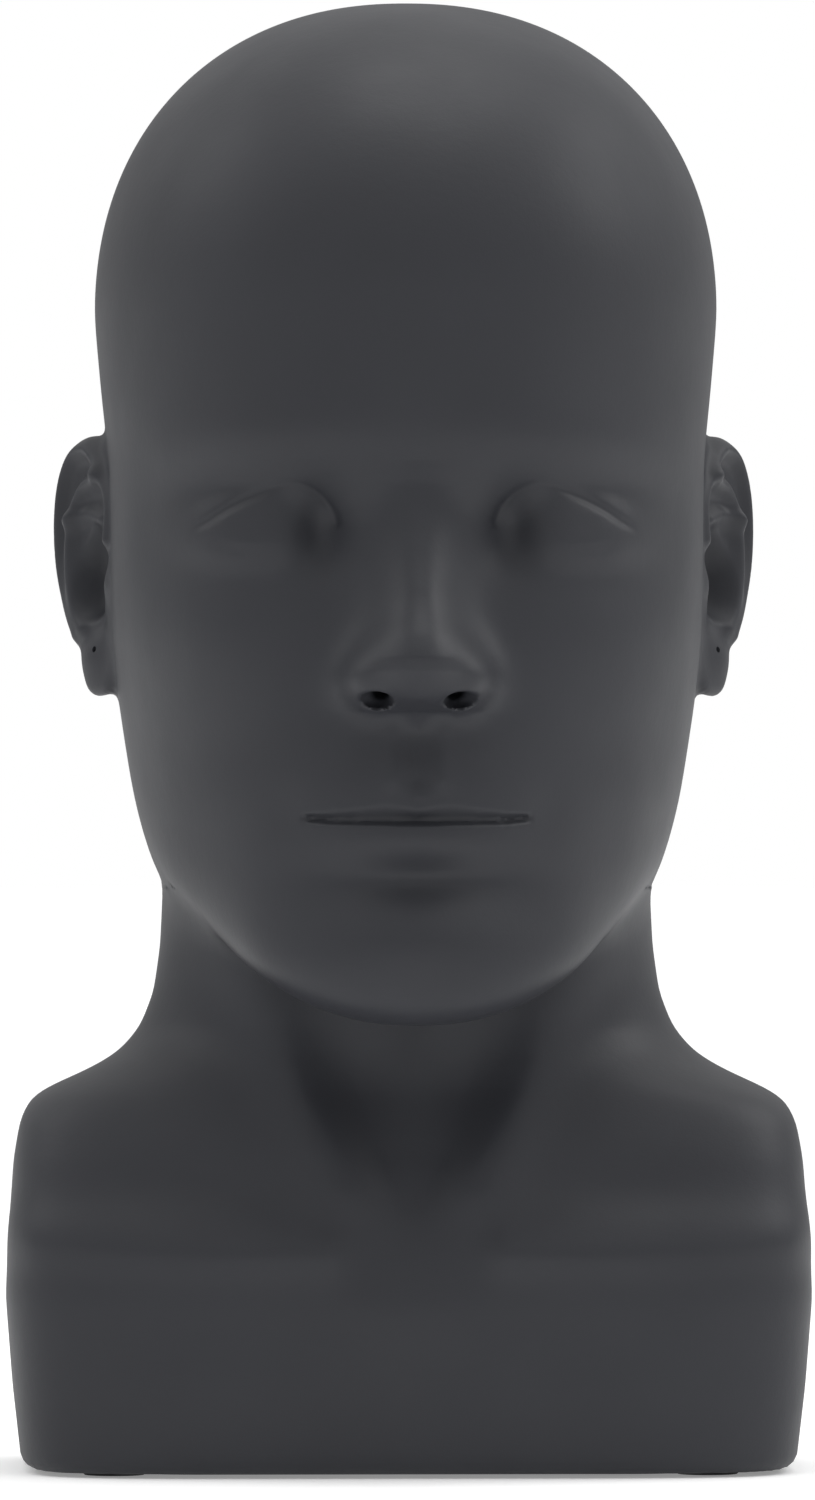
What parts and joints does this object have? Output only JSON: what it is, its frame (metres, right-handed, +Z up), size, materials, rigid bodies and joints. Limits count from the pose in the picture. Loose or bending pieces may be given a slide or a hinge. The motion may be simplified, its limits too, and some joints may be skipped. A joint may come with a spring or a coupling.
{
  "type": "mannequin training head",
  "caption": "Matte charcoal mannequin head and shoulders with an oval face, moulded ears and a weighted base holding a stand socket.",
  "frame": {"origin": "on the surface the part stands on, under the middle of its overall width and depth", "axes": "+Z up to the crown, the face looks along -Y, +X is the face's own left side"},
  "size_m": [0.2082, 0.2276, 0.38],
  "materials": {
    "shell": "fine satin texture",
    "plate": "black powder coat",
    "socket": "moulded satin",
    "fastener": "zinc plated",
    "block": "sawn beech",
    "rubber": "matte"
  },
  "bodies": {
    "root": {"head_shell": "shell", "base_plate": "plate", "stand_socket": "socket", "base_screws": "fastener", "socket_screws": "fastener", "socket_washers": "fastener", "socket_nuts": "fastener", "mounting_block_front_right": "block", "mounting_block_front_left": "block", "mounting_block_rear_right": "block", "mounting_block_rear_left": "block", "rubber_foot_front_right": "rubber", "rubber_foot_front_left": "rubber", "rubber_foot_rear_right": "rubber", "rubber_foot_rear_left": "rubber"}
  },
  "joints": []
}
